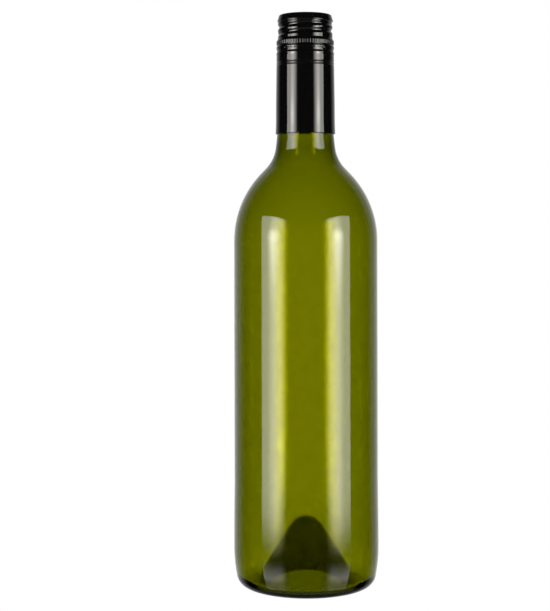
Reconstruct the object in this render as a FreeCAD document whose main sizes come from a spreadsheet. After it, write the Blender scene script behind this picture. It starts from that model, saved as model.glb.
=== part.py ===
import FreeCAD, Part
import math
import os
import Sketcher

# A 750 ml claret wine bottle of olive glass, shut with a long-skirted roll-on screw cap.
# Millimetres, +Z up. The origin is the centre of the ring that the bottle stands on.

GLASS_SIZES = {
    # height of the glass, from the standing ring to the sealing rim
    "glass_height": 296.0,
    # outside of the body: a label panel set back a little above the heel band
    "panel_radius": 37.25,
    "band_radius": 37.5,
    "band_foot": 20.0,
    "band_head": 26.0,
    "panel_foot": 29.5,
    "panel_head": 179.0,
    # heel, from the band down to the standing ring
    "heel_sweep_radius": 75.0,
    "heel_radius": 6.5,
    # underside of the punt
    "ring_inner_radius": 25.2,
    "ring_edge_radius": 1.8,
    "punt_flare_radius": 8.0,
    "under_angle": 62.0,
    "under_tip_radius": 7.2,
    "under_tip_height": 32.4,
    # shoulder and neck, outside
    "shoulder_radius": 50.0,
    "shoulder_angle": 44.0,
    "throat_radius": 18.5,
    "neck_sweep_radius": 165.0,
    "neck_sweep_head": 248.5,
    "neck_radius": 14.1,
    # finish: locking ring, thread root and rim
    "lock_ring_radius": 14.65,
    "lock_ring_foot": 277.95,
    "lock_ring_low": 278.5,
    "lock_ring_high": 279.65,
    "lock_ring_head": 281.35,
    "root_radius": 12.9,
    "rim_edge_radius": 0.8,
    # inside: punt, valley, wall, shoulder and bore
    "punt_height": 35.85,
    "punt_angle": 57.8,
    "valley_radius": 5.3,
    "valley_height": 8.3,
    "inner_sweep_radius": 110.0,
    "wall_foot": 20.0,
    "inner_radius": 34.95,
    "inner_head": 178.5,
    "inner_shoulder_radius": 48.4,
    "bore_foot_height": 229.5,
    "bore_foot_radius": 12.05,
    "bore_mouth_radius": 9.25,
    "mouth_edge_radius": 0.6,
    # glass thread, one start, right-handed
    "thread_pitch": 3.6,
    "thread_turns": 1.5,
    "thread_start": 286.08,
    "thread_crest_radius": 13.75,
    "thread_crest_half": 0.5,
    "thread_base_half": 1.1,
}

CAP_SIZES = {
    "sheet": 0.25,
    # depths below the cap's top face, and outside radii there
    "top_radius": 12.8,
    "top_edge_radius": 0.95,
    "crown_depth": 0.75,
    "crown_radius": 13.86,
    "lip_depth": 2.3,
    "lip_foot_depth": 3.2,
    "lip_radius": 14.46,
    "lip_bead_radius": 0.9,
    "wall_head_depth": 3.75,
    "wall_foot_depth": 11.8,
    "wall_radius": 14.3,
    "knurl_head_depth": 12.6,
    "knurl_foot_depth": 15.0,
    "knurl_radius": 14.98,
    "neck_in_depth": 15.5,
    "neck_in_radius": 14.78,
    "lock_head_depth": 16.1,
    "lock_foot_depth": 18.1,
    "lock_bead_radius": 1.3,
    "tuck_foot_depth": 18.7,
    "tuck_radius": 14.74,
    "guard_foot_depth": 20.9,
    "guard_foot_radius": 14.95,
    "guard_bead_radius": 2.3,
    "line_head_depth": 25.0,
    "line_foot_depth": 26.0,
    "line_radius": 15.02,
    "line_bead_radius": 0.51,
    "skirt_depth": 46.0,
    "skirt_radius": 15.32,
    "hem_depth": 57.0,
    "hem_radius": 15.38,
    "edge_depth": 61.9,
    "edge_radius": 15.58,
    # rolled thread groove
    "groove_start": 286.08,
    "groove_half_mouth": 0.95,
    "groove_half_floor": 0.35,
    "groove_radius": 13.6,
    # the same groove on the inner face of the sheet
    "rib_half_mouth": 1.04,
    "rib_half_floor": 0.44,
    "rib_radius": 13.35,
    # knurls
    "knurl_count": 64,
    "flute_radius": 14.66,
    "flute_half": 0.42,
    "flute_head_depth": 12.0,
    # tear line below the knurls
    "slit_count": 16,
    "slit_angle": 18.5,
    "slit_head_depth": 17.35,
    "slit_foot_depth": 17.65,
    # how far the cap is turned about the bottle's axis
    "cap_turn": 180.0,
}

SHEET_NAME = "Dimensions"
OVERRUN = 2.0


class Measure:
    """A length from the sheet, kept beside the expression that gives it."""

    def __init__(self, value, text):
        self.value = value
        self.text = text

    def __add__(self, other):
        return Measure(self.value + other.value, f"{self.text} + {other.text}")

    def __sub__(self, other):
        return Measure(self.value - other.value, f"{self.text} - ({other.text})")

    def __neg__(self):
        return Measure(-self.value, f"-({self.text})")


UPRIGHT = Measure(90.0, "90")


class Outline:
    """A chain of lines and arcs on a body's XZ plane, radius across and height up."""

    def __init__(self, body, name, start):
        self.sketch = body.newObject("Sketcher::SketchObject", name)
        self.sketch.AttachmentSupport = (origin_plane(body, "XZ_Plane"), "")
        self.sketch.MapMode = "FlatFace"
        self.start = start
        self.point = start
        self.tail = None
        self.head = None

    def line(self, end, smooth=False):
        """A straight run to end, which leaves the run before it smoothly if asked."""
        here, there = vector(self.point), vector(end)
        index = self.sketch.addGeometry(Part.LineSegment(here, there), False)
        self.join((index, 1), smooth)
        self.tail = (index, 2)
        self.point = end
        return index

    def arc(self, centre, end, anticlockwise, smooth=True):
        """An arc about centre from the chain's last point to end."""
        radius = math.hypot(end[0] - centre[0], end[1] - centre[1])
        here = math.atan2(self.point[1] - centre[1], self.point[0] - centre[0])
        there = math.atan2(end[1] - centre[1], end[0] - centre[0])
        first, last = (here, there) if anticlockwise else (there, here)
        circle = Part.Circle(vector(centre), FreeCAD.Vector(0, 0, 1), radius)
        curve = Part.ArcOfCircle(circle, first, last if last > first else last + math.tau)
        index = self.sketch.addGeometry(curve, False)
        self.join((index, 1 if anticlockwise else 2), smooth)
        self.tail = (index, 2 if anticlockwise else 1)
        self.point = end
        return index

    def join(self, entry, smooth):
        """Ties a new run to the one before it."""
        if self.tail is None:
            self.head = entry
            return
        kind = "Tangent" if smooth else "Coincident"
        self.sketch.addConstraint(Sketcher.Constraint(kind, *self.tail, *entry))

    def close(self):
        """A last straight run back to the start."""
        index = self.line(self.start)
        self.sketch.addConstraint(Sketcher.Constraint("Coincident", *self.tail, *self.head))
        return index

    def rule(self, kind, *places):
        """A constraint with no size, such as Vertical."""
        self.sketch.addConstraint(Sketcher.Constraint(kind, *places))

    def bind(self, kind, places, measure):
        """A dimension that follows the sheet."""
        value = math.radians(measure.value) if kind == "Angle" else measure.value
        index = self.sketch.addConstraint(Sketcher.Constraint(kind, *places, value))
        unit = " * 1 deg" if kind == "Angle" else " * 1 mm"
        self.sketch.setExpression(f"Constraints[{index}]", f"({measure.text}){unit}")

    def bind_point(self, place, across, up):
        """Fixes the radius and the height of a run's end."""
        if across is None:
            self.rule("PointOnObject", *place, -2)
        else:
            self.bind("DistanceX", place, across)
        self.bind("DistanceY", place, up)


def vector(point):
    return FreeCAD.Vector(point[0], point[1], 0)


def origin_plane(body, role):
    """One of the body's own origin planes."""
    return next(f for f in body.Origin.OriginFeatures if f.Role == role)


def make_sheet(doc):
    """The sheet of driving dimensions, one alias a row."""
    sheet = doc.addObject("Spreadsheet::Sheet", SHEET_NAME)
    rows = {**GLASS_SIZES, **CAP_SIZES}
    for row, (alias, number) in enumerate(rows.items(), start=1):
        sheet.set(f"A{row}", alias)
        sheet.set(f"B{row}", str(number))
        sheet.setAlias(f"B{row}", alias)
    doc.recompute()
    return sheet


def reader(sheet):
    """A function that gives the Measure of an alias."""
    return lambda alias: Measure(float(sheet.get(alias)), f"{SHEET_NAME}.{alias}")


def turned(body, kind, name, outline):
    """A Revolution or a Groove of an outline all round its vertical axis."""
    feature = body.newObject(f"PartDesign::{kind}", name)
    feature.Profile = outline.sketch
    feature.ReferenceAxis = (outline.sketch, ["V_Axis"])
    feature.Angle = 360
    outline.sketch.Visibility = False
    return feature


def on_circle(centre, radius, degrees):
    """The point of a circle at an angle from the radius direction."""
    turn = math.radians(degrees)
    return (centre[0] + radius * math.cos(turn), centre[1] + radius * math.sin(turn))


def draw_outside(body, size):
    """The outside of the glass, from the punt's tip round the heel and up to the rim."""
    steep = size("under_angle").value
    tip = (0.0, size("under_tip_height").value)
    tip_radius = size("under_tip_radius").value
    tip_centre = (0.0, tip[1] - tip_radius)
    ring_inner = (size("ring_inner_radius").value, 0.0)
    edge_radius = size("ring_edge_radius").value
    edge_centre = (ring_inner[0], edge_radius)
    flare_radius = size("punt_flare_radius").value
    flank_head = on_circle(tip_centre, tip_radius, 90 - steep)
    # the flare lies against the flank, so its centre is a flare radius beyond the flank's line
    slope = math.radians(steep)
    beyond = math.cos(slope) * tip_centre[1] + tip_radius + flare_radius
    beyond -= math.sin(slope) * edge_centre[0] + math.cos(slope) * edge_centre[1]
    edge_turn = steep - math.degrees(math.acos(beyond / (flare_radius - edge_radius)))
    flare_foot = on_circle(edge_centre, edge_radius, -90 - edge_turn)
    flare_centre = on_circle(flare_foot, flare_radius, 90 - edge_turn)
    flare_head = on_circle(flare_centre, flare_radius, -90 - steep)
    band_radius = size("band_radius").value
    heel_radius = size("heel_radius").value
    sweep_radius = size("heel_sweep_radius").value
    sweep_centre = (band_radius - sweep_radius, size("band_foot").value)
    drop = sweep_centre[1] - heel_radius
    reach = math.sqrt((sweep_radius - heel_radius) ** 2 - drop**2)
    heel_centre = (sweep_centre[0] + reach, heel_radius)
    heel_turn = math.degrees(math.atan2(drop, reach))
    outline = Outline(body, "outside_profile", tip)
    dome = outline.arc(tip_centre, flank_head, False)
    flank = outline.line(flare_head, smooth=True)
    flare = outline.arc(flare_centre, flare_foot, True)
    edge = outline.arc(edge_centre, ring_inner, True)
    ring = outline.line((heel_centre[0], 0.0), smooth=True)
    heel = outline.arc(heel_centre, on_circle(heel_centre, heel_radius, -heel_turn), True)
    sweep = outline.arc(sweep_centre, (band_radius, sweep_centre[1]), True)
    band = outline.line((band_radius, size("band_head").value), smooth=True)
    panel_radius = size("panel_radius").value
    outline.line((panel_radius, size("panel_foot").value))
    panel = outline.line((panel_radius, size("panel_head").value))
    shoulder, cone, throat, neck_sweep, neck = draw_shoulder(outline, size)
    low, crest, ramp, root = draw_finish(outline, size)
    rim_height = size("glass_height").value
    rim_edge = size("rim_edge_radius").value
    root_radius = size("root_radius").value
    rim_centre = (root_radius - rim_edge, rim_height - rim_edge)
    rim = outline.arc(rim_centre, (rim_centre[0], rim_height), True)
    top = outline.line((0.0, rim_height), smooth=True)
    outline.close()

    outline.bind_point((dome, 2), None, size("under_tip_height"))
    outline.rule("PointOnObject", dome, 3, -2)
    outline.bind("Radius", (dome,), size("under_tip_radius"))
    outline.bind("Angle", (flank,), -size("under_angle"))
    outline.bind("Radius", (flare,), size("punt_flare_radius"))
    outline.bind("Radius", (edge,), size("ring_edge_radius"))
    outline.bind("DistanceX", (ring, 1), size("ring_inner_radius"))
    outline.rule("PointOnObject", ring, 1, -1)
    outline.rule("Horizontal", ring)
    outline.bind("Radius", (heel,), size("heel_radius"))
    outline.bind("Radius", (sweep,), size("heel_sweep_radius"))
    outline.rule("Vertical", band)
    outline.bind_point((band, 1), size("band_radius"), size("band_foot"))
    outline.bind("DistanceY", (band, 2), size("band_head"))
    outline.bind_point((panel, 1), size("panel_radius"), size("panel_foot"))
    outline.rule("Vertical", panel)
    outline.bind("DistanceY", (panel, 2), size("panel_head"))
    outline.bind("Radius", (shoulder,), size("shoulder_radius"))
    outline.bind("Angle", (cone,), UPRIGHT + size("shoulder_angle"))
    outline.bind("Radius", (throat,), size("throat_radius"))
    outline.bind("Radius", (neck_sweep,), size("neck_sweep_radius"))
    outline.rule("Vertical", neck)
    outline.bind_point((neck, 1), size("neck_radius"), size("neck_sweep_head"))
    outline.bind("DistanceY", (neck, 2), size("lock_ring_foot"))
    outline.bind_point((low, 2), size("lock_ring_radius"), size("lock_ring_low"))
    outline.rule("Vertical", crest)
    outline.bind("DistanceY", (crest, 2), size("lock_ring_high"))
    outline.bind_point((ramp, 2), size("root_radius"), size("lock_ring_head"))
    outline.rule("Vertical", root)
    outline.bind("Radius", (rim,), size("rim_edge_radius"))
    outline.rule("Horizontal", top)
    outline.bind_point((top, 2), None, size("glass_height"))
    return outline


def draw_shoulder(outline, size):
    """The shoulder's arc and cone, the hollow throat and the long sweep of the neck."""
    lean = size("shoulder_angle").value
    shoulder_radius = size("shoulder_radius").value
    shoulder_centre = (size("panel_radius").value - shoulder_radius, size("panel_head").value)
    throat_radius = size("throat_radius").value
    sweep_radius = size("neck_sweep_radius").value
    neck_radius = size("neck_radius").value
    sweep_centre = (neck_radius + sweep_radius, size("neck_sweep_head").value)
    sweep_turn = 7.5
    throat_head = on_circle(sweep_centre, sweep_radius, 180 + sweep_turn)
    throat_centre = on_circle(throat_head, throat_radius, sweep_turn)
    throat_foot = on_circle(throat_centre, throat_radius, 180 + lean)
    shoulder = outline.arc(
        shoulder_centre, on_circle(shoulder_centre, shoulder_radius, lean), True
    )
    cone = outline.line(throat_foot, smooth=True)
    throat = outline.arc(throat_centre, throat_head, False)
    neck_sweep = outline.arc(sweep_centre, (neck_radius, sweep_centre[1]), False)
    neck = outline.line((neck_radius, size("lock_ring_foot").value), smooth=True)
    return shoulder, cone, throat, neck_sweep, neck


def draw_finish(outline, size):
    """The locking ring that the cap is rolled under, and the thread's root above it."""
    crest_radius = size("lock_ring_radius").value
    root_radius = size("root_radius").value
    low = outline.line((crest_radius, size("lock_ring_low").value))
    crest = outline.line((crest_radius, size("lock_ring_high").value))
    ramp = outline.line((root_radius, size("lock_ring_head").value))
    rim_foot = size("glass_height").value - size("rim_edge_radius").value
    root = outline.line((root_radius, rim_foot))
    return low, crest, ramp, root


def draw_inside(body, size):
    """The inside of the glass, from the punt's top down to the valley and up the bore."""
    steep = size("punt_angle").value
    top = (0.0, size("punt_height").value)
    valley_radius = size("valley_radius").value
    sweep_radius = size("inner_sweep_radius").value
    wall_radius = size("inner_radius").value
    sweep_centre = (wall_radius - sweep_radius, size("wall_foot").value)
    drop = sweep_centre[1] - size("valley_height").value
    reach = math.sqrt((sweep_radius - valley_radius) ** 2 - drop**2)
    valley_centre = (sweep_centre[0] + reach, size("valley_height").value)
    sweep_turn = math.degrees(math.atan2(drop, reach))
    valley_head = on_circle(valley_centre, valley_radius, 270 - steep)
    # the flank runs up from the valley, and the dome is the circle that touches it and the top
    slope = math.radians(steep)
    flank_offset = math.sin(slope) * valley_head[0] + math.cos(slope) * valley_head[1]
    dome_radius = (flank_offset - math.cos(slope) * top[1]) / (1 - math.cos(slope))
    dome_centre = (0.0, top[1] - dome_radius)
    lean = size("shoulder_angle").value
    shoulder_radius = size("inner_shoulder_radius").value
    shoulder_centre = (wall_radius - shoulder_radius, size("inner_head").value)
    shoulder_head = on_circle(shoulder_centre, shoulder_radius, lean)
    mouth_edge = size("mouth_edge_radius").value
    rim_height = size("glass_height").value
    mouth_foot = (size("bore_mouth_radius").value, rim_height - mouth_edge)
    bore_foot = (size("bore_foot_radius").value, size("bore_foot_height").value)
    # the throat is the circle that touches the bore's line at its foot, and the cone
    bore_lean = math.atan2(bore_foot[0] - mouth_foot[0], mouth_foot[1] - bore_foot[1])
    cone = math.radians(lean)
    rise = math.cos(cone) * (shoulder_head[0] - bore_foot[0])
    rise += math.sin(cone) * (shoulder_head[1] - bore_foot[1])
    throat_radius = rise / (math.cos(cone - bore_lean) - 1)
    throat_centre = on_circle(bore_foot, throat_radius, math.degrees(bore_lean))
    cone_head = on_circle(throat_centre, throat_radius, 180 + lean)
    outline = Outline(body, "inside_profile", top)
    dome = outline.arc(dome_centre, on_circle(dome_centre, dome_radius, 90 - steep), False)
    flank = outline.line(valley_head, smooth=True)
    valley = outline.arc(
        valley_centre, on_circle(valley_centre, valley_radius, -sweep_turn), True
    )
    sweep = outline.arc(sweep_centre, (wall_radius, sweep_centre[1]), True)
    wall = outline.line((wall_radius, size("inner_head").value), smooth=True)
    shoulder = outline.arc(shoulder_centre, shoulder_head, True)
    cone_run = outline.line(cone_head, smooth=True)
    outline.arc(throat_centre, bore_foot, False)
    bore = outline.line(mouth_foot, smooth=True)
    mouth_centre = (mouth_foot[0] + mouth_edge, mouth_foot[1])
    mouth = outline.arc(mouth_centre, (mouth_centre[0], rim_height), False)
    chimney = outline.line((mouth_centre[0], rim_height + OVERRUN))
    lid = outline.line((0.0, rim_height + OVERRUN))
    outline.close()

    outline.bind_point((dome, 2), None, size("punt_height"))
    outline.rule("PointOnObject", dome, 3, -2)
    outline.bind("Angle", (flank,), -size("punt_angle"))
    outline.bind("Radius", (valley,), size("valley_radius"))
    outline.bind("DistanceY", (valley, 3), size("valley_height"))
    outline.bind("Radius", (sweep,), size("inner_sweep_radius"))
    outline.rule("Vertical", wall)
    outline.bind_point((wall, 1), size("inner_radius"), size("wall_foot"))
    outline.bind("DistanceY", (wall, 2), size("inner_head"))
    outline.bind("Radius", (shoulder,), size("inner_shoulder_radius"))
    outline.bind("Angle", (cone_run,), UPRIGHT + size("shoulder_angle"))
    outline.bind_point((bore, 1), size("bore_foot_radius"), size("bore_foot_height"))
    outline.bind_point(
        (bore, 2),
        size("bore_mouth_radius"),
        size("glass_height") - size("mouth_edge_radius"),
    )
    outline.bind_point(
        (mouth, 1),
        size("bore_mouth_radius") + size("mouth_edge_radius"),
        size("glass_height"),
    )
    outline.rule("Vertical", chimney)
    outline.rule("Horizontal", lid)
    outline.bind_point((lid, 2), None, size("glass_height") + Measure(OVERRUN, str(OVERRUN)))
    return outline


def draw_cap(body, name, size, wall):
    """One face of the cap's sheet, a sheet's thickness inside the outer face where wall says."""
    cap_top = size("glass_height") + size("sheet")

    def place(radius, depth):
        """A corner of the profile, given by its outside radius and its depth."""
        across = size(radius) if wall is None else size(radius) - wall
        up = cap_top - size(depth)
        return across, up

    top = cap_top if wall is None else cap_top - wall
    outline = Outline(body, name, (0.0, top.value))
    bound = []

    def straight(radius, depth):
        """A straight run to a corner."""
        across, up = place(radius, depth)
        index = outline.line((across.value, up.value))
        bound.append(((index, 2), across, up))

    def bulge(radius, depth, alias):
        """A bead rolled into the sheet: a shallow arc that bulges outward to a corner."""
        across, up = place(radius, depth)
        chord = math.dist(outline.point, (across.value, up.value))
        bead = size(alias).value
        sag = math.sqrt(bead**2 - chord**2 / 4)
        middle = ((outline.point[0] + across.value) / 2, (outline.point[1] + up.value) / 2)
        lean = math.atan2(up.value - outline.point[1], across.value - outline.point[0])
        centre = (middle[0] + sag * math.sin(lean), middle[1] - sag * math.cos(lean))
        index = outline.arc(centre, (across.value, up.value), False, smooth=False)
        outline.bind("Radius", (index,), size(alias))
        bound.append(((index, 1), across, up))

    edge_across = size("top_radius") if wall is None else size("top_radius") - wall
    lid = outline.line((edge_across.value, top.value))
    bound.append(((lid, 2), edge_across, top))
    bulge("crown_radius", "crown_depth", "top_edge_radius")
    straight("lip_radius", "lip_depth")
    bulge("lip_radius", "lip_foot_depth", "lip_bead_radius")
    straight("wall_radius", "wall_head_depth")
    straight("wall_radius", "wall_foot_depth")
    straight("knurl_radius", "knurl_head_depth")
    straight("knurl_radius", "knurl_foot_depth")
    straight("neck_in_radius", "neck_in_depth")
    straight("neck_in_radius", "lock_head_depth")
    bulge("tuck_radius", "lock_foot_depth", "lock_bead_radius")
    straight("tuck_radius", "tuck_foot_depth")
    bulge("guard_foot_radius", "guard_foot_depth", "guard_bead_radius")
    straight("line_radius", "line_head_depth")
    bulge("line_radius", "line_foot_depth", "line_bead_radius")
    straight("skirt_radius", "skirt_depth")
    straight("hem_radius", "hem_depth")
    straight("edge_radius", "edge_depth")
    if wall is not None:
        across, up = place("edge_radius", "edge_depth")
        up = up - Measure(OVERRUN, str(OVERRUN))
        index = outline.line((across.value, up.value))
        bound.append(((index, 2), across, up))
    foot = bound[-1][2]
    base = outline.line((0.0, foot.value))
    bound.append(((base, 2), None, foot))
    outline.close()
    outline.bind_point((lid, 1), None, top)
    for place_on, across, up in bound:
        outline.bind_point(place_on, across, up)
    return outline


def thread_section(body, name, size, start, radii, halves):
    """A trapezium for a helical ridge or groove: two radii, each with its half width."""
    centre = size(start)
    near, far = size(radii[0]), size(radii[1])
    near_half, far_half = size(halves[0]), size(halves[1])
    corners = (
        (near, centre - near_half),
        (far, centre - far_half),
        (far, centre + far_half),
        (near, centre + near_half),
    )
    outline = Outline(body, name, (corners[0][0].value, corners[0][1].value))
    runs = [outline.line((across.value, up.value)) for across, up in corners[1:]]
    outline.close()
    outline.bind_point((runs[0], 1), *corners[0])
    for run, corner in zip(runs, corners[1:]):
        outline.bind_point((run, 2), *corner)
    return outline


def helix(body, kind, name, outline, size):
    """A helical ridge or groove of a section, right-handed about the vertical axis."""
    feature = body.newObject(f"PartDesign::{kind}", name)
    feature.Profile = outline.sketch
    feature.ReferenceAxis = (outline.sketch, ["V_Axis"])
    feature.Mode = "pitch-turns-angle"
    feature.setExpression("Pitch", size("thread_pitch").text + " * 1 mm")
    feature.setExpression("Turns", size("thread_turns").text)
    feature.LeftHanded = False
    outline.sketch.Visibility = False
    return feature


def make_bottle(doc, size):
    """The glass: turned outside, hollowed inside, with the thread laid on the finish."""
    body = doc.addObject("PartDesign::Body", "bottle")
    outside = draw_outside(body, size)
    turned(body, "Revolution", "outside", outside)
    doc.recompute()
    section = thread_section(
        body,
        "thread_section",
        size,
        "thread_start",
        ("root_radius", "thread_crest_radius"),
        ("thread_base_half", "thread_crest_half"),
    )
    helix(body, "AdditiveHelix", "thread", section, size)
    doc.recompute()
    inside = draw_inside(body, size)
    turned(body, "Groove", "inside", inside)
    doc.recompute()
    return body


def make_cap_face(doc, name, size, wall, radii, halves):
    """A solid plug out to one face of the cap's sheet, with the thread and knurls rolled in."""
    body = doc.addObject("PartDesign::Body", name)
    outline = draw_cap(body, "profile", size, wall)
    turned(body, "Revolution", "plug", outline)
    doc.recompute()
    section = thread_section(body, "groove_section", size, "groove_start", radii, halves)
    helix(body, "SubtractiveHelix", "groove", section, size)
    doc.recompute()
    knurl(doc, body, size, wall)
    return body


def knurl(doc, body, size, wall):
    """A ring of upright flutes pressed into the band below the thread."""
    sketch = body.newObject("Sketcher::SketchObject", "flute_section")
    sketch.AttachmentSupport = (origin_plane(body, "XY_Plane"), "")
    sketch.MapMode = "FlatFace"
    cap_top = size("glass_height") + size("sheet")
    foot = cap_top - size("knurl_foot_depth")
    sketch.setExpression(".AttachmentOffset.Base.z", f"({foot.text}) * 1 mm")
    floor = size("flute_radius") if wall is None else size("flute_radius") - wall
    mouth = floor + size("flute_half")
    half = size("flute_half")
    corners = (
        (floor.value, 0.0),
        (mouth.value, -half.value),
        (mouth.value, half.value),
    )
    for here, there in zip(corners, corners[1:] + corners[:1]):
        sketch.addGeometry(Part.LineSegment(vector(here), vector(there)), False)
    for run in range(3):
        sketch.addConstraint(Sketcher.Constraint("Coincident", run, 2, (run + 1) % 3, 1))
    sketch.addConstraint(Sketcher.Constraint("PointOnObject", 0, 1, -1))
    sketch.addConstraint(Sketcher.Constraint("Symmetric", 1, 1, 1, 2, -1))
    for kind, place, measure in (
        ("DistanceX", (0, 1), floor),
        ("DistanceX", (1, 1), mouth),
        ("DistanceY", (1, 2), half),
    ):
        index = sketch.addConstraint(Sketcher.Constraint(kind, *place, measure.value))
        sketch.setExpression(f"Constraints[{index}]", f"({measure.text}) * 1 mm")
    sketch.Visibility = False
    doc.recompute()
    flute = body.newObject("PartDesign::Pocket", "flute")
    flute.Profile = sketch
    flute.Reversed = True
    rise = size("knurl_foot_depth") - size("flute_head_depth")
    flute.setExpression("Length", f"({rise.text}) * 1 mm")
    doc.recompute()
    pattern = body.newObject("PartDesign::PolarPattern", "knurls")
    pattern.Originals = [flute]
    pattern.Axis = (sketch, ["N_Axis"])
    pattern.Angle = 360
    pattern.setExpression("Occurrences", size("knurl_count").text)
    body.Tip = pattern
    doc.recompute()


def make_slits(doc, size):
    """The tear line: a ring of narrow slots with a bridge of sheet between each two."""
    body = doc.addObject("PartDesign::Body", "tear_line")
    cap_top = size("glass_height") + size("sheet")
    low = cap_top - size("slit_foot_depth")
    high = cap_top - size("slit_head_depth")
    near = size("lock_ring_radius")
    far = size("edge_radius")
    corners = ((near, low), (far, low), (far, high), (near, high))
    outline = Outline(body, "slot_section", (near.value, low.value))
    runs = [outline.line((across.value, up.value)) for across, up in corners[1:]]
    outline.close()
    outline.bind_point((runs[0], 1), *corners[0])
    for run, corner in zip(runs, corners[1:]):
        outline.bind_point((run, 2), *corner)
    slot = turned(body, "Revolution", "slot", outline)
    slot.setExpression("Angle", size("slit_angle").text + " * 1 deg")
    doc.recompute()
    pattern = body.newObject("PartDesign::PolarPattern", "slots")
    pattern.Originals = [slot]
    pattern.Axis = (outline.sketch, ["V_Axis"])
    pattern.Angle = 360
    pattern.setExpression("Occurrences", size("slit_count").text)
    body.Tip = pattern
    doc.recompute()
    return body


def make_screw_cap(doc, size):
    """The cap: one drawn sheet, its outer face less its inner face, cut along the tear line."""
    outer = make_cap_face(
        doc,
        "cap_outer",
        size,
        None,
        ("edge_radius", "groove_radius"),
        ("groove_half_mouth", "groove_half_floor"),
    )
    inner = make_cap_face(
        doc,
        "cap_inner",
        size,
        size("sheet"),
        ("edge_radius", "rib_radius"),
        ("rib_half_mouth", "rib_half_floor"),
    )
    shell = doc.addObject("Part::Cut", "cap_shell")
    shell.Base = outer
    shell.Tool = inner
    cap = doc.addObject("Part::Cut", "screw_cap")
    cap.Base = shell
    cap.Tool = make_slits(doc, size)
    cap.Placement = FreeCAD.Placement(
        FreeCAD.Vector(0, 0, 0),
        FreeCAD.Rotation(FreeCAD.Vector(0, 0, 1), size("cap_turn").value),
    )
    doc.recompute()
    return cap


def check(doc, parts):
    """Stops on any failed feature and on any sub-part without one valid solid."""
    for item in doc.Objects:
        if "Invalid" in item.State or "Error" in item.State:
            raise RuntimeError(f"{item.Name} failed: {item.State}")
    for part in parts:
        if part.Shape.isNull() or not part.Shape.isValid() or len(part.Shape.Solids) != 1:
            raise RuntimeError(f"{part.Label} isn't one valid solid")


def main():
    doc = FreeCAD.newDocument("glass_bottle")
    size = reader(make_sheet(doc))
    parts = [make_bottle(doc, size), make_screw_cap(doc, size)]
    doc.recompute()
    check(doc, parts)
    os.makedirs("parts", exist_ok=True)
    for part in parts:
        part.Shape.exportStep(f"parts/{part.Label}.step")
        box = part.Shape.BoundBox
        print(part.Label, round(part.Shape.Volume), "mm3", box)


main()
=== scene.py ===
"""An olive-green claret bottle, empty, closed with a black long-skirted screw cap.

The bottle stands on the floor at the origin, +Z up. Lengths in the profiles are millimetres.
"""

import math

import bpy
import numpy as np
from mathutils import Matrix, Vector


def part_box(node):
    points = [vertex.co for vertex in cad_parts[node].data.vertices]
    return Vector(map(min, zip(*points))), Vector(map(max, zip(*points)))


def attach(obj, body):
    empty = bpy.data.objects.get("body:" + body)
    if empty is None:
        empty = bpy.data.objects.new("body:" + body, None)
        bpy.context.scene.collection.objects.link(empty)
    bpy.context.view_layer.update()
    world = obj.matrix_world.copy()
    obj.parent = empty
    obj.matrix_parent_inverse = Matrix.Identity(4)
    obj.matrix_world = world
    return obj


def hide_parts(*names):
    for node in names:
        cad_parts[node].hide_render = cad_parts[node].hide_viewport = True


MM = 0.001

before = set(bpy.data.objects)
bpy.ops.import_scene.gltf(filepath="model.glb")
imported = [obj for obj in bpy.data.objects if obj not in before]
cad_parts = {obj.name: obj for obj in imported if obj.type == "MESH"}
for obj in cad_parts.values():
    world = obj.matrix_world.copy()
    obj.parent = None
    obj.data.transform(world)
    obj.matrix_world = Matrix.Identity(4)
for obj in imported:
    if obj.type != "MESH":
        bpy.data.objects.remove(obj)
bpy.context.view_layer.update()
glass_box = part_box("bottle")
cap_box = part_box("screw_cap")


# Profiles: arrays of (radius, height)

# how far inside its ends a straight run has its extra rows
END_ROW = 0.6

def run(start, end, count):
    """Points spaced evenly along a straight line, the first one left out."""
    share = np.linspace(0, 1, count + 1)[1:, None]
    return np.array(start) + share * (np.array(end) - np.array(start))


def straight(start, end):
    """A straight run with a row just inside each end, which keeps the shading between flat."""
    length = math.hypot(end[0] - start[0], end[1] - start[1])
    share = np.array([END_ROW, length - END_ROW, length])[:, None] / length
    return np.array(start) + share * (np.array(end) - np.array(start))


def arc(centre, radius, first, last, count):
    """Points along a circle from the angle first to last in degrees, the first one left out."""
    turn = np.radians(np.linspace(first, last, count + 1)[1:])
    return np.array(centre) + radius * np.stack([np.cos(turn), np.sin(turn)], axis=1)


def eased(foot, head, count):
    """A set-back between two points, eased at both ends by half a cosine wave."""
    share = np.linspace(0, 1, count + 1)[1:]
    ease = (1 - np.cos(np.pi * share)) / 2
    radius = foot[0] + ease * (head[0] - foot[0])
    return np.stack([radius, foot[1] + share * (head[1] - foot[1])], axis=1)


def at(centre, radius, degrees):
    """The point of a circle at an angle: the centre plus radius times cosine and sine."""
    turn = math.radians(degrees)
    return (centre[0] + radius * math.cos(turn), centre[1] + radius * math.sin(turn))


def across_slope(point, degrees):
    """How far out a point lies, measured square to a line that leans inwards from upright by an
    angle: cosine times the radius plus sine times the height."""
    lean = math.radians(degrees)
    return math.cos(lean) * point[0] + math.sin(lean) * point[1]


# Glass

GLASS_TOP = glass_box[1][2] / MM
RIM_EDGE = 0.8

# body and heel: a band at the foot, from which the panel is set back a little
PANEL_RADIUS = 37.25
PANEL_FOOT = 60.0
PANEL_HEAD = 179.0
BAND_RADIUS = 37.5
BAND_FOOT = 20.0
BAND_HEAD = 26.0
HEEL_SWEEP = 75.0
HEEL_RADIUS = 6.5

# standing ring and underside of the punt
RING_INNER = 25.2
RING_EDGE = 1.8
FLARE_RADIUS = 8.0
UNDER_ANGLE = 62.0
TIP_RADIUS = 7.2
TIP_HEIGHT = 32.4

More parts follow.
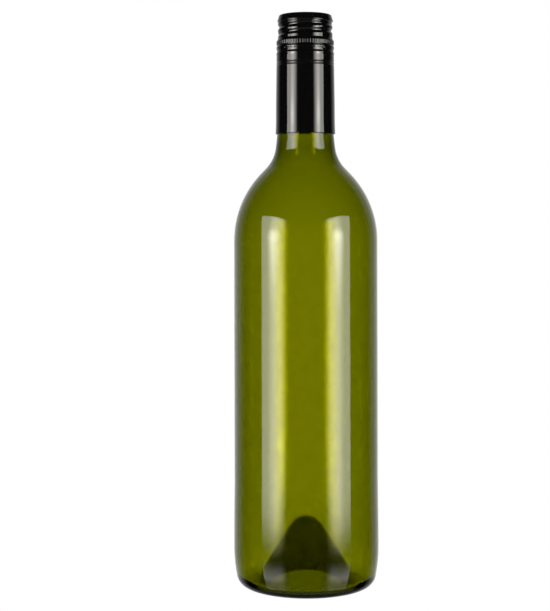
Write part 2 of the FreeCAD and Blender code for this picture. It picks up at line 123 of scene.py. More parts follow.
# shoulder and neck
SHOULDER_RADIUS = 50.0
SHOULDER_ANGLE = 44.0
THROAT_RADIUS = 18.5
NECK_SWEEP = 165.0
NECK_SWEEP_ANGLE = 7.5
NECK_SWEEP_HEAD = 248.5
NECK_RADIUS = 14.1

# finish under the cap
LOCK_RADIUS = 14.65
LOCK_HEIGHTS = (277.95, 278.5, 279.65, 281.35)
ROOT_RADIUS = 12.9
THREAD_START = 286.08
THREAD_PITCH = 3.6
THREAD_TURNS = 1.5
THREAD_HEIGHT = 0.85
THREAD_HALF = 1.1
THREAD_RUN_OUT = 0.08

# inside: punt, valley, wall, shoulder, bore; the wall is set back where the outside is
PUNT_HEIGHT = 35.85
PUNT_ANGLE = 57.8
VALLEY_RADIUS = 5.3
VALLEY_HEIGHT = 8.3
INNER_SWEEP = 110.0
INNER_RADIUS = 34.95
INNER_BAND = 35.2
INNER_HEAD = 178.5
INNER_SHOULDER = 48.4
BORE_FOOT = (12.05, 229.5)
BORE_MOUTH = 9.25
MOUTH_EDGE = 0.6

# gripping marks pressed into the standing ring
MARKS = 105
MARK_DEPTH = 0.12
MARK_INNER = 26.2
MARK_OUTER = 29.6
GLASS_COLUMNS = 4 * MARKS


def underside():
    """The underside of the punt and the standing ring: a domed tip, a straight flank that
    touches it, a flare that touches the flank, and the ring's rounded inner edge."""
    tip_centre = (0.0, TIP_HEIGHT - TIP_RADIUS)
    edge_centre = (RING_INNER, RING_EDGE)
    upright = 90 - UNDER_ANGLE
    # the flare's centre lies one flare radius beyond the flank's line
    beyond = across_slope(tip_centre, upright) + TIP_RADIUS + FLARE_RADIUS
    beyond -= across_slope(edge_centre, upright)
    edge_turn = UNDER_ANGLE - math.degrees(math.acos(beyond / (FLARE_RADIUS - RING_EDGE)))
    flare_foot = at(edge_centre, RING_EDGE, -90 - edge_turn)
    flare_centre = at(flare_foot, FLARE_RADIUS, 90 - edge_turn)
    flare_head = at(flare_centre, FLARE_RADIUS, -90 - UNDER_ANGLE)
    return np.vstack([
        arc(tip_centre, TIP_RADIUS, 90, 90 - UNDER_ANGLE, 9),
        straight(at(tip_centre, TIP_RADIUS, 90 - UNDER_ANGLE), flare_head),
        arc(flare_centre, FLARE_RADIUS, -90 - UNDER_ANGLE, -90 - edge_turn, 9),
        arc(edge_centre, RING_EDGE, -90 - edge_turn, -90, 5),
    ])


def outside_profile():
    """The outer face of the glass from the punt's tip to the rim. Heel, shoulder, throat and
    neck are arcs that touch. The last number of a run, an arc or a set-back counts its rows."""
    drop = BAND_FOOT - HEEL_RADIUS
    sweep_centre = (BAND_RADIUS - HEEL_SWEEP, BAND_FOOT)
    heel_reach = math.sqrt((HEEL_SWEEP - HEEL_RADIUS) ** 2 - drop**2)
    heel_centre = (sweep_centre[0] + heel_reach, HEEL_RADIUS)
    heel_turn = math.degrees(math.atan2(drop, heel_reach))
    neck_centre = (NECK_RADIUS + NECK_SWEEP, NECK_SWEEP_HEAD)
    throat_head = at(neck_centre, NECK_SWEEP, 180 + NECK_SWEEP_ANGLE)
    throat_centre = at(throat_head, THROAT_RADIUS, NECK_SWEEP_ANGLE)
    throat_foot = at(throat_centre, THROAT_RADIUS, 180 + SHOULDER_ANGLE)
    shoulder_centre = (PANEL_RADIUS - SHOULDER_RADIUS, PANEL_HEAD)
    lock_foot, lock_low, lock_high, lock_head = LOCK_HEIGHTS
    rim_centre = (ROOT_RADIUS - RIM_EDGE, GLASS_TOP - RIM_EDGE)
    return np.vstack([
        underside(),
        run((RING_INNER, 0.0), (heel_centre[0], 0.0), 9),
        arc(heel_centre, HEEL_RADIUS, -90, -heel_turn, 14),
        arc(sweep_centre, HEEL_SWEEP, -heel_turn, 0, 8),
        run((BAND_RADIUS, BAND_FOOT), (BAND_RADIUS, BAND_HEAD), 2),
        eased((BAND_RADIUS, BAND_HEAD), (PANEL_RADIUS, PANEL_FOOT), 6),
        straight((PANEL_RADIUS, PANEL_FOOT), (PANEL_RADIUS, PANEL_HEAD)),
        arc(shoulder_centre, SHOULDER_RADIUS, 0, SHOULDER_ANGLE, 22),
        run(at(shoulder_centre, SHOULDER_RADIUS, SHOULDER_ANGLE), throat_foot, 2),
        arc(throat_centre, THROAT_RADIUS, 180 + SHOULDER_ANGLE, 180 + NECK_SWEEP_ANGLE, 12),
        arc(neck_centre, NECK_SWEEP, 180 + NECK_SWEEP_ANGLE, 180, 8),
        run((NECK_RADIUS, NECK_SWEEP_HEAD), (NECK_RADIUS, lock_foot), 2),
        run((NECK_RADIUS, lock_foot), (LOCK_RADIUS, lock_low), 2),
        run((LOCK_RADIUS, lock_low), (LOCK_RADIUS, lock_high), 2),
        run((LOCK_RADIUS, lock_high), (ROOT_RADIUS, lock_head), 3),
        run((ROOT_RADIUS, lock_head), (ROOT_RADIUS, rim_centre[1]), 22),
        arc(rim_centre, RIM_EDGE, 0, 90, 4),
    ])


def inside_profile():
    """The inner face of the glass from the mouth down the bore, shoulder and wall, round the
    valley and up to the punt's top. The throat, valley and dome are circles that touch the
    runs on both sides."""
    mouth = (BORE_MOUTH, GLASS_TOP - MOUTH_EDGE)
    shoulder_centre = (INNER_RADIUS - INNER_SHOULDER, INNER_HEAD)
    shoulder_head = at(shoulder_centre, INNER_SHOULDER, SHOULDER_ANGLE)
    lean = math.degrees(math.atan2(BORE_FOOT[0] - mouth[0], mouth[1] - BORE_FOOT[1]))
    cone_gap = across_slope(shoulder_head, SHOULDER_ANGLE) - across_slope(BORE_FOOT, SHOULDER_ANGLE)
    throat = cone_gap / (math.cos(math.radians(SHOULDER_ANGLE - lean)) - 1)
    throat_centre = at(BORE_FOOT, throat, lean)
    cone_head = at(throat_centre, throat, 180 + SHOULDER_ANGLE)
    drop = BAND_FOOT - VALLEY_HEIGHT
    sweep_centre = (INNER_BAND - INNER_SWEEP, BAND_FOOT)
    reach = math.sqrt((INNER_SWEEP - VALLEY_RADIUS) ** 2 - drop**2)
    valley_centre = (sweep_centre[0] + reach, VALLEY_HEIGHT)
    sweep_turn = math.degrees(math.atan2(drop, reach))
    valley_head = at(valley_centre, VALLEY_RADIUS, 270 - PUNT_ANGLE)
    rise = math.cos(math.radians(PUNT_ANGLE))
    dome = (across_slope(valley_head, 90 - PUNT_ANGLE) - rise * PUNT_HEIGHT) / (1 - rise)
    dome_centre = (0.0, PUNT_HEIGHT - dome)
    return np.vstack([
        arc((mouth[0] + MOUTH_EDGE, mouth[1]), MOUTH_EDGE, 90, 180, 4),
        straight(mouth, BORE_FOOT),
        arc(throat_centre, throat, 180 + lean, 180 + SHOULDER_ANGLE, 12),
        run(cone_head, shoulder_head, 2),
        arc(shoulder_centre, INNER_SHOULDER, SHOULDER_ANGLE, 0, 18),
        straight((INNER_RADIUS, INNER_HEAD), (INNER_RADIUS, PANEL_FOOT)),
        eased((INNER_RADIUS, PANEL_FOOT), (INNER_BAND, BAND_HEAD), 6),
        run((INNER_BAND, BAND_HEAD), (INNER_BAND, BAND_FOOT), 2),
        arc(sweep_centre, INNER_SWEEP, 0, -sweep_turn, 6),
        arc(valley_centre, VALLEY_RADIUS, -sweep_turn, -90 - PUNT_ANGLE, 18),
        straight(valley_head, at(dome_centre, dome, 90 - PUNT_ANGLE)),
        arc(dome_centre, dome, 90 - PUNT_ANGLE, 90, 12),
    ])


def revolved(name, radius, height):
    """A closed surface of revolution on a grid: row i, column j is the point at turn
    2 pi j / columns, with radius[i, j] and height[i, j] in millimetres. The first and the last
    row are each closed by a fan to a point on the axis. With the rows running up the outside
    and the turn anticlockwise, the faces point outwards."""
    rows, columns = radius.shape
    turn = np.linspace(0, 2 * np.pi, columns, endpoint=False)
    grid = np.stack([radius * np.cos(turn), radius * np.sin(turn), height], axis=2)
    poles = np.array([[0, 0, height[0].mean()], [0, 0, height[-1].mean()]])
    points = np.vstack([grid.reshape(-1, 3), poles]) * MM
    here = np.arange(rows * columns).reshape(rows, columns)
    beside = np.roll(here, -1, axis=1)
    quads = np.stack([here[:-1], beside[:-1], beside[1:], here[1:]], axis=2).reshape(-1, 4)
    foot = np.full(columns, rows * columns)
    low_fan = np.stack([foot, beside[0], here[0]], axis=1)
    high_fan = np.stack([foot + 1, here[-1], beside[-1]], axis=1)
    corners = np.concatenate([quads.ravel(), low_fan.ravel(), high_fan.ravel()])
    sizes = np.concatenate([np.full(len(quads), 4), np.full(2 * columns, 3)])
    mesh = bpy.data.meshes.new(name)
    mesh.vertices.add(len(points))
    mesh.vertices.foreach_set("co", points.ravel())
    mesh.loops.add(len(corners))
    mesh.loops.foreach_set("vertex_index", corners)
    mesh.polygons.add(len(sizes))
    mesh.polygons.foreach_set("loop_start", np.concatenate([[0], np.cumsum(sizes)[:-1]]))
    mesh.polygons.foreach_set("use_smooth", np.ones(len(sizes), dtype=bool))
    mesh.update(calc_edges=True)
    mesh.validate()
    piece = bpy.data.objects.new(name, mesh)
    bpy.context.scene.collection.objects.link(piece)
    return piece


def ridge(distance, half_width):
    """A smooth ridge across a distance: 1 on its line, 0 beyond half_width, a cosine between."""
    share = np.clip(np.abs(distance) / half_width, 0, 1)
    return (1 + np.cos(np.pi * share)) / 2


def thread(turn, height, first_turn, half_width, run_out):
    """A right-handed helical ridge, 1 on the helix height = start + pitch * turns. It fades to
    0 over run_out of a turn, half of it past each end."""
    lead = (turn - first_turn) / (2 * np.pi) % 1
    turns = (height - THREAD_START) / THREAD_PITCH
    nearest = np.round(turns - lead) + lead
    fade = np.clip(np.minimum(nearest, THREAD_TURNS - nearest) / run_out + 0.5, 0, 1)
    return ridge((turns - nearest) * THREAD_PITCH, half_width) * fade


def all_round(columns):
    """The turns of the columns of a grid, evenly spaced once round."""
    return np.linspace(0, 2 * np.pi, columns, endpoint=False)[None, :]


def make_glass():
    """The outer and inner profiles turned as one closed skin. The thread's ridge is added to
    the radius of the finish. The gripping marks raise the standing ring by a triangle wave
    round it times a cosine ridge across it."""
    outer, inner = outside_profile(), inside_profile()
    # the last point lies on the axis, where the fan closes the skin
    profile = np.vstack([outer, inner])[:-1]
    turn = all_round(GLASS_COLUMNS)
    radius = np.repeat(profile[:, :1], GLASS_COLUMNS, axis=1)
    height = np.repeat(profile[:, 1:], GLASS_COLUMNS, axis=1)
    outside = (np.arange(len(profile)) < len(outer))[:, None]
    wave = np.abs(2 * (turn * MARKS / (2 * np.pi) % 1) - 1)
    span = ridge(radius - (MARK_INNER + MARK_OUTER) / 2, (MARK_OUTER - MARK_INNER) / 2)
    height = height + np.where(outside & (height < MARK_DEPTH), MARK_DEPTH * wave * span, 0)
    finish = outside & (height > LOCK_HEIGHTS[3]) & (height < GLASS_TOP - 2 * RIM_EDGE)
    lift = THREAD_HEIGHT * thread(turn, height, 0.0, THREAD_HALF, THREAD_RUN_OUT)
    return revolved("glass_bottle", radius + np.where(finish, lift, 0), height)


# Screw cap

CAP_TOP = cap_box[1][2] / MM
SHEET = 0.25
CAP_CORNERS = (
    # outside radius, depth below the top, radius of the bead rolled in on the way there
    (12.8, 0.0, None),
    (13.86, 0.9, 1.0),
    (14.46, 3.0, None),
    (14.46, 3.6, 0.5),
    (14.1, 3.9, None),
    (14.25, 4.6, None),
    (14.25, 12.4, None),
    (14.98, 13.9, None),
    (14.98, 15.6, None),
    (14.64, 16.1, None),
    (14.97, 16.6, None),
    (14.98, 17.95, 3.0),
    (14.74, 18.6, None),
    (14.74, 19.3, None),
    (14.95, 21.2, 2.3),
    (15.02, 24.5, None),
    (14.66, 24.85, None),
    (15.12, 25.3, None),
    (15.14, 25.85, None),
    (14.76, 26.15, None),
    (15.04, 26.55, None),
    (15.32, 46.0, None),
    (15.38, 57.0, None),
    (15.58, 61.9, None),
)
# the outer face starts here, on the flat top
TOP_START = 11.5

# rolled thread, knurls and tear line; the spans and SLIT_DEPTH are measured down from the top
GROOVE_DEPTH = 0.7
GROOVE_HALF = 1.6
GROOVE_RUN_OUT = 0.1
GROOVE_SPAN = (3.8, 12.6)
KNURLS = 64
KNURL_DEPTH = 0.28
KNURL_HALF = 0.25
KNURL_SPAN = (13.7, 15.9)
KNURL_RADIUS = 14.98
KNURL_FADE = 0.3
SLITS = 16
# degrees that a slit takes, of those from one slit to the next
SLIT_SHARE = 18.5 / 22.5
SLIT_DEPTH = 17.8
SLIT_HALF = 0.25
SLIT_SINK = 0.2
CAP_COLUMNS = 6 * KNURLS

# the cap's rows: fine down to the rolled part's foot, wide on the plain skirt, and one close
# to the open edge; the inner face has every third of them
FINE_ROW = 0.18
ROLLED_FOOT = 27.0
SKIRT_ROWS = 12
EDGE_TURN = 0.12
INNER_STEP = 3

# points on a bead before the line is given its rows
BEAD_POINTS = 12

# easing of the cap's corners: width of the bell, its reach in steps, and the step
CORNER_EASE = 0.08
EASE_REACH = 10
EASE_STEP = 0.05


def bead(start, end, radius, count):
    """The shallow arc from start to end, both (radius, depth), that bulges outwards. Its centre
    lies inwards of the chord's middle by the square root of radius squared less half the chord
    squared."""
    across, down = end[0] - start[0], end[1] - start[1]
    chord = math.hypot(across, down)
    sag = math.sqrt(radius**2 - chord**2 / 4)
    centre = (
        (start[0] + end[0]) / 2 - sag * down / chord,
        (start[1] + end[1]) / 2 + sag * across / chord,
    )
    first = math.degrees(math.atan2(start[1] - centre[1], start[0] - centre[0]))
    last = math.degrees(math.atan2(end[1] - centre[1], end[0] - centre[0]))
    return arc(centre, radius, first, last, count)


def cap_profile():
    """The cap's outer face from the flat of the top to the open edge, as (radius, depth):
    straight runs and beads, then every corner eased by averaging the line with a bell-shaped
    weight."""
    line = [np.array([[TOP_START, 0.0]])]
    for radius, depth, rolled in CAP_CORNERS:
        start, end = tuple(line[-1][-1]), (radius, depth)
        line.append(bead(start, end, rolled, BEAD_POINTS) if rolled else run(start, end, 1))
    line = np.vstack(line)
    along = np.concatenate([[0], np.cumsum(np.hypot(*np.diff(line, axis=0).T))])
    fine = np.arange(0, along[-1] + EASE_STEP / 2, EASE_STEP)
    offset = np.arange(-EASE_REACH, EASE_REACH + 1) * EASE_STEP
    weight = np.exp(-0.5 * (offset / CORNER_EASE) ** 2)
    weight /= weight.sum()

    def eased_part(part):
        """One coordinate of the line, averaged, with the line carried on past its ends."""
        even = np.interp(fine, along, part)
        return np.convolve(np.pad(even, EASE_REACH, "reflect", reflect_type="odd"), weight, "valid")

    eased_line = [eased_part(part) for part in line.T]
    rolled_end = np.interp(ROLLED_FOOT, line[:, 1], along)
    stops = np.concatenate([
        np.arange(0, rolled_end, FINE_ROW),
        np.linspace(rolled_end, fine[-1] - EDGE_TURN, SKIRT_ROWS),
        [fine[-1]],
    ])
    profile = np.stack([np.interp(stops, fine, part) for part in eased_line], axis=1)
    profile[:, 1] = np.maximum(profile[:, 1], 0)
    return profile


def make_cap():
    """The profile turned about the axis. The thread is sunk into the wall, a V-shaped flute is
    sunk between each two knurls, and sunk lines with bridges between them make the tear line.
    The inner face is the wall, without the tear line, one thickness of sheet inwards."""
    profile = cap_profile()
    turn = all_round(CAP_COLUMNS)
    radius = np.repeat(profile[:, :1], CAP_COLUMNS, axis=1)
    depth = np.repeat(profile[:, 1:], CAP_COLUMNS, axis=1)
    height = CAP_TOP - depth
    walled = (depth > GROOVE_SPAN[0]) & (depth < GROOVE_SPAN[1])
    groove = GROOVE_DEPTH * thread(turn, height, np.pi, GROOVE_HALF, GROOVE_RUN_OUT)
    off_flute = np.abs((turn * KNURLS / (2 * np.pi) + 0.5) % 1 - 0.5)
    off_flute = off_flute * 2 * np.pi * KNURL_RADIUS / KNURLS
    into_strip = np.minimum(depth - KNURL_SPAN[0], KNURL_SPAN[1] - depth)
    strip = np.clip(into_strip / KNURL_FADE, 0, 1)
    flute = KNURL_DEPTH * np.clip(1 - off_flute / KNURL_HALF, 0, 1) * strip
    open_here = (turn * SLITS / (2 * np.pi)) % 1 < SLIT_SHARE
    slit = SLIT_SINK * ridge(depth - SLIT_DEPTH, SLIT_HALF) * open_here
    wall = radius - np.where(walled, groove, 0) - flute
    outer = wall - slit
    # the rows run down the inner face, which needs fewer of them, and up the outside
    kept = np.unique(np.append(np.arange(0, len(profile), INNER_STEP), len(profile) - 1))
    inner = wall[kept] - SHEET
    inner_height = np.minimum(height[kept], CAP_TOP - SHEET)
    return revolved(
        "black_screw_cap",
        np.vstack([inner, outer[::-1]]),
        np.vstack([inner_height, height[::-1]]),
    )


# Finishes

# waves: so many to the metre across the piece, so many up it, and their height in metres
GLASS_WAVES = (160.0, 9.0, 0.000006)
LACQUER_WAVES = (900.0, 900.0, 0.0000015)

GLASS_IOR = 1.52
GLASS_TINT = (0.77, 0.782, 0.0375, 1)
TINT_DENSITY = 1706

LACQUER_IOR = 1.61
LACQUER_ROUGHNESS = (0.03, 0.08)
LACQUER_COLOURS = ((0.0012, 0.0012, 0.0012, 1), (0.002, 0.002, 0.002, 1))


def new_material(name):
    """A material with its nodes, its links and its Principled shader."""
    material = bpy.data.materials.new(name)
    material.use_nodes = True
    nodes = material.node_tree.nodes
    return material, nodes, material.node_tree.links, nodes["Principled BSDF"]


def waves_group():
    """The gentle unevenness of a formed surface: noise on the object's own coordinates, given
    as a mask from 0 to 1 and as a bumped normal."""
    group = bpy.data.node_groups.new("surface_waves", "ShaderNodeTree")
    for name in ("Scale", "Upright Scale", "Height"):
        group.interface.new_socket(name, in_out="INPUT", socket_type="NodeSocketFloat")
    group.interface.new_socket("Mask", in_out="OUTPUT", socket_type="NodeSocketFloat")
    group.interface.new_socket("Normal", in_out="OUTPUT", socket_type="NodeSocketVector")
    nodes, links = group.nodes, group.links
    given = nodes.new("NodeGroupInput")
    result = nodes.new("NodeGroupOutput")
    place = nodes.new("ShaderNodeTexCoord")
    noise = nodes.new("ShaderNodeTexNoise")
    noise.inputs["Detail"].default_value = 1.0
    bump = nodes.new("ShaderNodeBump")
    sizes = nodes.new("ShaderNodeCombineXYZ")
    for axis, name in (("X", "Scale"), ("Y", "Scale"), ("Z", "Upright Scale")):
        links.new(given.outputs[name], sizes.inputs[axis])
    scaled = nodes.new("ShaderNodeVectorMath")
    scaled.operation = "MULTIPLY"
    links.new(place.outputs["Object"], scaled.inputs[0])
    links.new(sizes.outputs["Vector"], scaled.inputs[1])
    links.new(scaled.outputs["Vector"], noise.inputs["Vector"])
    noise.inputs["Scale"].default_value = 1.0
    links.new(noise.outputs["Fac"], bump.inputs["Height"])
    links.new(given.outputs["Height"], bump.inputs["Distance"])
    links.new(noise.outputs["Fac"], result.inputs["Mask"])
    links.new(bump.outputs["Normal"], result.inputs["Normal"])
    return group


def add_waves(nodes, group, sizes):
    """The waves group in a material, with its three sizes set."""
    waves = nodes.new("ShaderNodeGroup")
    waves.node_tree = group
    for name, size in zip(("Scale", "Upright Scale", "Height"), sizes):
        waves.inputs[name].default_value = size
    return waves


def olive_glass(group):
    """Clear glass whose body takes up almost all the blue and some of the red and green."""
    material, nodes, links, shader = new_material("olive_glass")
    shader.inputs["Base Color"].default_value = (1, 1, 1, 1)
    shader.inputs["Roughness"].default_value = 0.0
    shader.inputs["IOR"].default_value = GLASS_IOR
    shader.inputs["Transmission Weight"].default_value = 1.0
    waves = add_waves(nodes, group, GLASS_WAVES)
    links.new(waves.outputs["Normal"], shader.inputs["Normal"])
    absorb = nodes.new("ShaderNodeVolumeAbsorption")
    absorb.inputs["Color"].default_value = GLASS_TINT
    absorb.inputs["Density"].default_value = TINT_DENSITY
    links.new(absorb.outputs["Volume"], nodes["Material Output"].inputs["Volume"])
    return material


def black_lacquer(group):
    """Black stoving lacquer on aluminium: glossy, with a faint orange peel."""
    material, nodes, links, shader = new_material("black_lacquer")
    shader.inputs["IOR"].default_value = LACQUER_IOR
    waves = add_waves(nodes, group, LACQUER_WAVES)
    links.new(waves.outputs["Normal"], shader.inputs["Normal"])
    sheen = nodes.new("ShaderNodeMapRange")
    sheen.inputs["To Min"].default_value, sheen.inputs["To Max"].default_value = LACQUER_ROUGHNESS
    links.new(waves.outputs["Mask"], sheen.inputs["Value"])
    links.new(sheen.outputs["Result"], shader.inputs["Roughness"])
    colour = nodes.new("ShaderNodeMix")
    colour.data_type = "RGBA"
    colour.inputs["A"].default_value, colour.inputs["B"].default_value = LACQUER_COLOURS
    links.new(waves.outputs["Mask"], colour.inputs["Factor"])
    links.new(colour.outputs["Result"], shader.inputs["Base Color"])
    return material


# Floor, backdrop, lamps and camera

def reckoner(nodes, links):
    """A function that adds a maths node on numbers and sockets, and gives its output."""
    def reckon(operation, *values):
        node = nodes.new("ShaderNodeMath")
        node.operation = operation
        for socket, value in zip(node.inputs, values):
            if isinstance(value, (int, float)):
                socket.default_value = value
            else:
                links.new(value, socket)
        return node.outputs["Value"]

    return reckon


def smooth_step(nodes, links, value, low, high):
    """0 at low and 1 at high, and level beyond them: 3 times the square of the share of the way
    less 2 times its cube. High may be the lesser of the two."""
    node = nodes.new("ShaderNodeMapRange")
    node.interpolation_type = "SMOOTHSTEP"
    node.inputs["From Min"].default_value = low
    node.inputs["From Max"].default_value = high
    links.new(value, node.inputs["Value"])
    return node.outputs["Result"]


FLOOR_HALF = 6.0
FLOOR_COLOUR = (0.8, 0.8, 0.8, 1)
# the floor's brightness where it is seen through the glass foot, with a painted contact shadow in a
# ring under the standing ring: (metres from the axis, share)
PAINTED_FOOT_SHADE = ((0.0, 1.0), (0.0286, 1.0), (0.0302, 0.35), (0.0316, 0.35), (0.0322, 1.0))


def make_floor():
    """A plain pale floor: white where the camera sees it, and matt to other rays. Those that come
    through the glass pass it, dimmed by a painted shadow in a ring under the foot. Gloss doesn't
    mirror it."""
    mesh = bpy.data.meshes.new("floor")
    corners = [(-1, -1), (1, -1), (1, 1), (-1, 1)]
    mesh.from_pydata([(FLOOR_HALF * x, FLOOR_HALF * y, 0) for x, y in corners], [], [(0, 1, 2, 3)])
    floor = bpy.data.objects.new("floor", mesh)
    bpy.context.scene.collection.objects.link(floor)
    material, nodes, links, shader = new_material("pale_floor")
    nodes.remove(shader)
    glow = nodes.new("ShaderNodeEmission")
    matt = nodes.new("ShaderNodeBsdfDiffuse")
    matt.inputs["Color"].default_value = FLOOR_COLOUR
    place = nodes.new("ShaderNodeTexCoord")
    away = nodes.new("ShaderNodeVectorMath")
    away.operation = "LENGTH"
    links.new(place.outputs["Object"], away.inputs[0])
    # painted shade: a dark ring of contact shadow under the foot, met only by rays that come
    # through the glass
    shade = nodes.new("ShaderNodeValToRGB")
    links.new(away.outputs["Value"], shade.inputs["Fac"])
    stops = shade.color_ramp.elements
    for reach, level in PAINTED_FOOT_SHADE[1:-1]:
        stops.new(reach)
    for stop, (reach, level) in zip(stops, PAINTED_FOOT_SHADE):
        stop.position = reach
        stop.color = (level, level, level, 1)
    clear = nodes.new("ShaderNodeBsdfTransparent")
    links.new(shade.outputs["Color"], clear.inputs["Color"])
    path = nodes.new("ShaderNodeLightPath")
    seen = nodes.new("ShaderNodeMixShader")
    links.new(path.outputs["Is Camera Ray"], seen.inputs[0])
    links.new(matt.outputs[0], seen.inputs[1])
    links.new(glow.outputs[0], seen.inputs[2])
    through = nodes.new("ShaderNodeMixShader")
    links.new(path.outputs["Is Transmission Ray"], through.inputs[0])
    links.new(seen.outputs[0], through.inputs[1])
    links.new(clear.outputs[0], through.inputs[2])
    links.new(through.outputs[0], nodes["Material Output"].inputs["Surface"])
    mesh.materials.append(material)
    floor.visible_glossy = False


# Lamps: metres and degrees. Azimuths are counted from the front, outwards on each side.

LAMP_DISTANCE = 0.6
LAMP_AZIMUTH = 51.2
LAMP_WIDTH = 0.66
LAMP_FOOT = -0.5
LAMP_HEAD = 0.46
# half the width of the lit cloth, and how fast its outer edge leans outwards above a height
LAMP_EDGE = 0.235
LAMP_FLARE = 0.4
FLARE_FOOT = 0.25
# azimuths and heights between which the cloth brightens
INNER_FADE = (29.5, 43.5)
FOOT_FADE = (-0.115, -0.035)

# the hot spot: its height, how much distances across and up count, where it is gone and full
HOT_HEIGHT = 0.222
HOT_COUNTS = (0.7, 0.8)
HOT_FADE = (0.1, 0.01)

# the cloth's foot glows as a pale table would: where it is gone and full at its head, the step
# below which it is dimmer, and the share of it that goes on below
TABLE_HEAD = (-0.1, -0.3)
TABLE_STEP = (-0.34, -0.25)
TABLE_SHARE = 1 / 3

# strengths of the even glow, the core, the hot spot and the table
FRONT_LAMP = {
    "distance": LAMP_DISTANCE,
    "colour": (1.0, 0.98, 0.92, 1),
    "plain": 4.1,
    "core": 3.0,
    "core_azimuth": 51.5,
    "core_spread": 0.08,
    "hot": 9.0,
    "table": 1.9,
    "mirrored": False,
}
# of two lamps on one plane only one is met, so the twin stands a little nearer
TWIN_LAMP = {
    "distance": 0.99 * LAMP_DISTANCE,
    "colour": (1.0, 0.83, 0.6, 1),
    "plain": 1.5,
    "core": 27.0,
    "core_azimuth": 44.5,
    "core_spread": 0.1,
    "hot": 0.0,
    "table": 0.0,
    "mirrored": True,
}


def outward(azimuth):
    """Metres across the cloth, outwards from its middle, for an azimuth seen from the bottle's
    axis: the lamp's distance times the tangent of the turn from the lamp's own azimuth."""
    return LAMP_DISTANCE * math.tan(math.radians(azimuth - LAMP_AZIMUTH))


def cloth_glow(nodes, links, out, up, kind):
    """The strength of a lamp's cloth: an even glow that fades towards its inner edge, plus a
    bright upright core that falls off as a bell curve, plus a hot spot. All three fade towards
    the foot, where the table's glow is added. Beyond the edges it is 0. Out is metres outwards
    from the middle, and up is the height."""
    reckon = reckoner(nodes, links)

    def fade(value, ends):
        """The smooth step between two ends."""
        return smooth_step(nodes, links, value, *ends)

    flare = reckon("MAXIMUM", reckon("SUBTRACT", up, FLARE_FOOT), 0.0)
    flare = reckon("MULTIPLY", flare, LAMP_FLARE)
    edge = reckon("LESS_THAN", reckon("SUBTRACT", out, flare), LAMP_EDGE)
    edge = reckon("MULTIPLY", edge, reckon("GREATER_THAN", out, -LAMP_EDGE))
    inner_fade = fade(out, [outward(azimuth) for azimuth in INNER_FADE])

    core_out = outward(kind["core_azimuth"])
    share = reckon("DIVIDE", reckon("SUBTRACT", out, core_out), kind["core_spread"])
    bell = reckon("EXPONENT", reckon("MULTIPLY", reckon("MULTIPLY", share, share), -1.0))
    core = reckon("MULTIPLY", bell, kind["core"])

    across = reckon("MULTIPLY", reckon("SUBTRACT", out, core_out), HOT_COUNTS[0])
    rise = reckon("MULTIPLY", reckon("SUBTRACT", up, HOT_HEIGHT), HOT_COUNTS[1])
    squares = reckon("ADD", reckon("MULTIPLY", across, across), reckon("MULTIPLY", rise, rise))
    hot = reckon("MULTIPLY", fade(reckon("SQRT", squares), HOT_FADE), kind["hot"])

    cloth = reckon("MULTIPLY", inner_fade, kind["plain"])
    cloth = reckon("ADD", cloth, reckon("ADD", core, hot))
    cloth = reckon("MULTIPLY", cloth, fade(up, FOOT_FADE))
    table = reckon("MULTIPLY", fade(up, TABLE_STEP), kind["table"])
    table = reckon("ADD", table, kind["table"] * TABLE_SHARE)
    table = reckon("MULTIPLY", table, fade(up, TABLE_HEAD))
    table = reckon("MULTIPLY", table, inner_fade)
    return reckon("MULTIPLY", reckon("ADD", cloth, table), edge)


def softbox(name, side, kind):
    """A tall softbox beside the camera, side -1 on the left and 1 on the right. A mirrored one
    is met only by light that a surface has mirrored before."""
    tall = LAMP_HEAD - LAMP_FOOT
    light = bpy.data.lights.new(name, "AREA")
    light.shape = "RECTANGLE"
    light.size = LAMP_WIDTH
    light.size_y = tall
    # the energy goes with the area, so the cloth is as bright as its strength says
    light.energy = math.pi * LAMP_WIDTH * tall
    light.use_nodes = True
    nodes, links = light.node_tree.nodes, light.node_tree.links
    glow = nodes["Emission"]
    glow.inputs["Color"].default_value = kind["colour"]
    place = nodes.new("ShaderNodeNewGeometry")
    split = nodes.new("ShaderNodeSeparateXYZ")
    links.new(place.outputs["Parametric"], split.inputs[0])
    reckon = reckoner(nodes, links)
    out = reckon("MULTIPLY", reckon("SUBTRACT", split.outputs["X"], 0.5), side * LAMP_WIDTH)
    up = reckon("MULTIPLY_ADD", split.outputs["Y"], tall, LAMP_FOOT)
    strength = cloth_glow(nodes, links, out, up, kind)
    if kind["mirrored"]:
        path = nodes.new("ShaderNodeLightPath")
        met = reckon("GREATER_THAN", path.outputs["Glossy Depth"], 0.5)
        strength = reckon("MULTIPLY", strength, met)
    links.new(strength, glow.inputs["Strength"])
    lamp = bpy.data.objects.new(name, light)
    bpy.context.scene.collection.objects.link(lamp)
    turn = math.radians(side * LAMP_AZIMUTH)
    distance = kind["distance"]
    middle = (LAMP_HEAD + LAMP_FOOT) / 2
    lamp.location = (distance * math.sin(turn), -distance * math.cos(turn), middle)
    lamp.rotation_euler = (math.pi / 2, 0, turn)
    lamp.visible_camera = False
    return lamp


def make_lamps():
    """A softbox on each side. Each has a twin, met only by rays that come out of the glass
    after it has mirrored them, for the green streaks beside the white ones."""
    for side, word in ((-1, "left"), (1, "right")):
        front = softbox(f"{word}_softbox", side, FRONT_LAMP)
        front.visible_transmission = False
        twin = softbox(f"{word}_softbox_in_glass", side, TWIN_LAMP)
        twin.visible_glossy = False
        twin.visible_diffuse = False


# World, by the direction a ray goes in

# the glow behind: how far back it starts, the power it grows by, and its strength
BACK_START = 0.45
BACK_POWER = 1.1
BACK_GLOW = 0.82
# the glow below: where it is gone and full, and its strength
BELOW_FADE = (-0.5, -0.85)
BELOW_GLOW = 0.13
# the grey that matt surfaces are lit by
MATT_GREY = 0.8


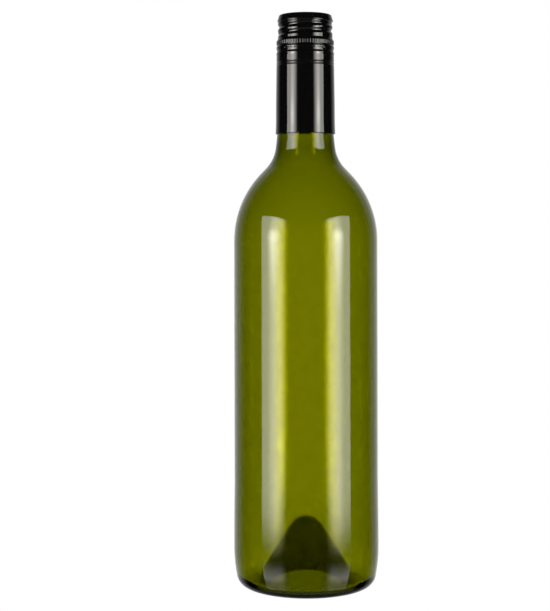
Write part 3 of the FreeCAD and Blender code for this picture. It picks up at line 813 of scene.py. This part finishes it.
def make_world():
    """White where it is seen directly or through the glass, and a soft grey to matt surfaces.
    For gloss there is a glow behind the bottle, which lights the edges of the glass: the share
    of the way back, to a power. A dim one below, as the pale floor gives, is added."""
    world = bpy.data.worlds.new("studio")
    bpy.context.scene.world = world
    world.use_nodes = True
    nodes, links = world.node_tree.nodes, world.node_tree.links
    path = nodes.new("ShaderNodeLightPath")
    place = nodes.new("ShaderNodeTexCoord")
    split = nodes.new("ShaderNodeSeparateXYZ")
    links.new(place.outputs["Generated"], split.inputs[0])
    reckon = reckoner(nodes, links)
    behind = nodes.new("ShaderNodeMapRange")
    behind.inputs["From Min"].default_value = BACK_START
    links.new(split.outputs["Y"], behind.inputs["Value"])
    glow = reckon("MULTIPLY", reckon("POWER", behind.outputs["Result"], BACK_POWER), BACK_GLOW)
    below = smooth_step(nodes, links, split.outputs["Z"], *BELOW_FADE)
    glow = reckon("MULTIPLY_ADD", below, BELOW_GLOW, glow)
    gloss = reckon("MULTIPLY", glow, path.outputs["Is Glossy Ray"])
    matt = reckon("MULTIPLY", path.outputs["Is Diffuse Ray"], MATT_GREY)
    seen = reckon("MAXIMUM", path.outputs["Is Camera Ray"], path.outputs["Is Transmission Ray"])
    strength = reckon("MAXIMUM", reckon("MAXIMUM", seen, gloss), matt)
    backdrop = nodes["Background"]
    backdrop.inputs["Color"].default_value = (1, 1, 1, 1)
    links.new(strength, backdrop.inputs["Strength"])


CAMERA_PLACE = (0.0, -0.7834, 0.1884)
CAMERA_YAW = 1.166
CAMERA_ROLL = -0.125
CAMERA_LENS = 88.62
CAMERA_SENSOR = 36
# the camera looks level, and its frame is shifted down onto the bottle
CAMERA_SHIFT = -0.136
CAMERA_CLIP = (0.01, 50)


def make_camera():
    """A long lens at the height of the shoulder."""
    data = bpy.data.cameras.new("camera")
    data.sensor_width = CAMERA_SENSOR
    data.lens = CAMERA_LENS
    data.shift_y = CAMERA_SHIFT
    data.clip_start, data.clip_end = CAMERA_CLIP
    camera = bpy.data.objects.new("camera", data)
    bpy.context.scene.collection.objects.link(camera)
    camera.location = CAMERA_PLACE
    camera.rotation_euler = (math.pi / 2, math.radians(-CAMERA_ROLL), math.radians(CAMERA_YAW))
    bpy.context.scene.camera = camera


waves = waves_group()

glass = make_glass()
glass.data.materials.append(olive_glass(waves))
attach(glass, "root")
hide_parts("bottle")

cap = make_cap()
cap.data.materials.append(black_lacquer(waves))
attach(cap, "root")
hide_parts("screw_cap")

make_floor()
make_world()
make_lamps()
make_camera()
bpy.context.scene.view_settings.view_transform = "Standard"
